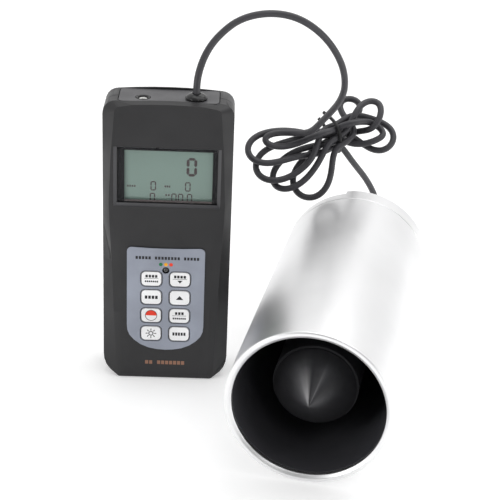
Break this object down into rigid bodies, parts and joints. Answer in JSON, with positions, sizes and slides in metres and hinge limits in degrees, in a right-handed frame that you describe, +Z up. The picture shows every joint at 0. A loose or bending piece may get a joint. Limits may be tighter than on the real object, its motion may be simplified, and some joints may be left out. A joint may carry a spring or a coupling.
{
  "type": "grain moisture meter",
  "caption": "Handheld display meter joined by a coiled cable to a cylindrical sensor cup that measures the moisture of grain poured into it.",
  "frame": {"origin": "centre of the meter's flat bottom end, on the table plane", "axes": "+Z up the meter from its foot to its cable end, -Y out of the display face, +X to the right seen from the front; the cup lies on its side to the right"},
  "size_m": [0.1845, 0.2323, 0.2014],
  "materials": {
    "case": "fine matt texture",
    "case_back": "fine matt texture",
    "end_panel": "matt",
    "window": "clear pane with a dark printed border",
    "lcd": "grey-green reflective display",
    "light_guide": "milky",
    "board": "solder mask",
    "elastomer": "soft",
    "label": "printed satin film",
    "key": "satin white with thin dark outline",
    "led": "tinted lens",
    "jack": "dark",
    "rubber": "matt black",
    "cell": "plain printed sleeve",
    "plated": "nickel plated",
    "screw": "dark zinc",
    "cup_metal": "satin anodised",
    "liner": "semi-gloss black",
    "core": "turned, black anodised"
  },
  "bodies": {
    "instrument": {"front_cover": "case", "rear_cover": "case_back", "top_end_panel": "end_panel", "display_window": "window", "lcd_glass": "lcd", "lcd_backlight": "light_guide", "zebra_connector": "elastomer", "main_circuit_board": "board", "keypad_board": "board", "key_dome_sheet": "elastomer", "keypad_label": "label", "status_led": "led", "data_jack": "jack", "cable_grommet": "rubber", "battery_contact_lower": "plated", "battery_contact_upper": "plated", "cup_tube": "cup_metal", "cup_liner": "liner", "cup_floor": "liner", "core_electrode": "core", "core_cone": "core", "core_bolt": "screw", "base_cap": "cup_metal", "base_cover_plate": "cup_metal", "sensor_board": "board", "cup_cable_gland": "rubber", "signal_cable": "rubber", "hank_tie": "rubber", "battery_cell_1": "cell", "case_screw_1": "screw", "battery_cell_2": "cell", "case_screw_2": "screw", "battery_cell_3": "cell", "case_screw_3": "screw", "battery_cell_4": "cell", "case_screw_4": "screw", "base_screw_1": "screw", "base_screw_2": "screw", "base_screw_3": "screw"},
    "door": {"battery_door": "case_back"},
    "key_1_left_body": {"key_1_left": "key"},
    "key_1_right_body": {"key_1_right": "key"},
    "key_2_left_body": {"key_2_left": "key"},
    "key_2_right_body": {"key_2_right": "key"},
    "key_3_left_body": {"key_3_left": "key"},
    "key_3_right_body": {"key_3_right": "key"},
    "key_4_left_body": {"key_4_left": "key"},
    "key_4_right_body": {"key_4_right": "key"}
  },
  "joints": [
    {"name": "battery_door_slide", "type": "slide", "parent": "instrument", "child": "door", "axis": [0, 0, -1], "range_m": [0, 0.06]},
    {"name": "key_1_left_press", "type": "slide", "parent": "instrument", "child": "key_1_left_body", "axis": [0, 1, 0], "range_m": [0, 0.0005], "stiffness_N_per_m": 400},
    {"name": "key_1_right_press", "type": "slide", "parent": "instrument", "child": "key_1_right_body", "axis": [0, 1, 0], "range_m": [0, 0.0005], "stiffness_N_per_m": 400},
    {"name": "key_2_left_press", "type": "slide", "parent": "instrument", "child": "key_2_left_body", "axis": [0, 1, 0], "range_m": [0, 0.0005], "stiffness_N_per_m": 400},
    {"name": "key_2_right_press", "type": "slide", "parent": "instrument", "child": "key_2_right_body", "axis": [0, 1, 0], "range_m": [0, 0.0005], "stiffness_N_per_m": 400},
    {"name": "key_3_left_press", "type": "slide", "parent": "instrument", "child": "key_3_left_body", "axis": [0, 1, 0], "range_m": [0, 0.0005], "stiffness_N_per_m": 400},
    {"name": "key_3_right_press", "type": "slide", "parent": "instrument", "child": "key_3_right_body", "axis": [0, 1, 0], "range_m": [0, 0.0005], "stiffness_N_per_m": 400},
    {"name": "key_4_left_press", "type": "slide", "parent": "instrument", "child": "key_4_left_body", "axis": [0, 1, 0], "range_m": [0, 0.0005], "stiffness_N_per_m": 400},
    {"name": "key_4_right_press", "type": "slide", "parent": "instrument", "child": "key_4_right_body", "axis": [0, 1, 0], "range_m": [0, 0.0005], "stiffness_N_per_m": 400}
  ]
}
